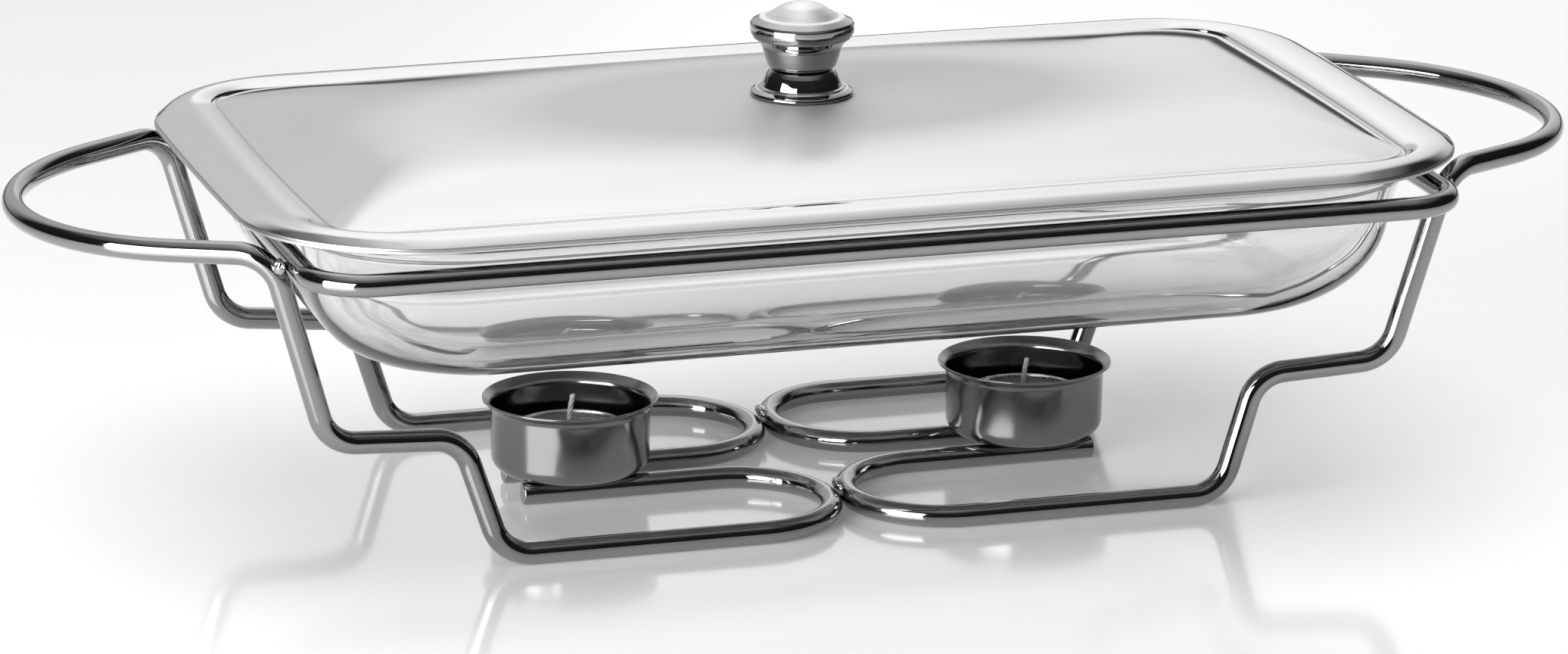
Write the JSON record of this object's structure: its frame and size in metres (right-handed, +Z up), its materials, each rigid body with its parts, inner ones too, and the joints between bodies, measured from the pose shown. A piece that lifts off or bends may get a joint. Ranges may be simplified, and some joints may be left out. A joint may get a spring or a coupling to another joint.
{
  "type": "chafing dish food warmer",
  "caption": "Chrome wire stand with loop handles holding a lidded rectangular glass dish above tealights in steel cups.",
  "frame": {"origin": "on the table under the middle of the stand", "axes": "+X along the long side towards the right handle, +Y to the back, +Z up"},
  "size_m": [0.5182, 0.228, 0.1568],
  "materials": {
    "chrome_rod": "bright chrome plate on bent round steel rod",
    "weld": "small ground weld bead under the chrome plate",
    "cup_steel": "satin rolled steel, brushed round the cup",
    "dish_glass": "clear pressed glass, fire-polished",
    "lid_steel": "polished stainless with a very fine grain",
    "knob_chrome": "bright chrome plate on a turned knob",
    "knob_screw": "zinc-plated machine screw",
    "knob_washer": "zinc-plated washer",
    "tealight_shell": "thin drawn foil cup",
    "wax": "candle wax, slightly translucent",
    "wick": "braided cotton",
    "wick_tab": "stamped tin-plated tab"
  },
  "bodies": {
    "stand": {"top_ring": "chrome_rod", "left_end_wire": "chrome_rod", "right_end_wire": "chrome_rod", "ring_weld_front_left": "weld", "ring_weld_front_right": "weld", "ring_weld_back_left": "weld", "ring_weld_back_right": "weld", "base_weld_front": "weld", "base_weld_back": "weld", "left_candle_cup": "cup_steel", "right_candle_cup": "cup_steel"},
    "dish": {"glass_dish": "dish_glass"},
    "lid": {"lid_cover": "lid_steel", "knob_base": "knob_chrome", "knob_body": "knob_chrome", "knob_screw": "knob_screw", "knob_washer": "knob_washer"},
    "left_tealight": {"left_tealight_shell": "tealight_shell", "left_tealight_wax": "wax", "left_wick": "wick", "left_wick_tab": "wick_tab"},
    "right_tealight": {"right_tealight_shell": "tealight_shell", "right_tealight_wax": "wax", "right_wick": "wick", "right_wick_tab": "wick_tab"}
  },
  "joints": [
    {"name": "dish_lift", "type": "slide", "parent": "stand", "child": "dish", "axis": [0, 0, 1], "range_m": [0, 0.15]},
    {"name": "lid_lift", "type": "slide", "parent": "dish", "child": "lid", "axis": [0, 0, 1], "range_m": [0, 0.2]},
    {"name": "left_tealight_lift", "type": "slide", "parent": "stand", "child": "left_tealight", "axis": [0, 0, 1], "range_m": [0, 0.025]},
    {"name": "right_tealight_lift", "type": "slide", "parent": "stand", "child": "right_tealight", "axis": [0, 0, 1], "range_m": [0, 0.025]}
  ]
}
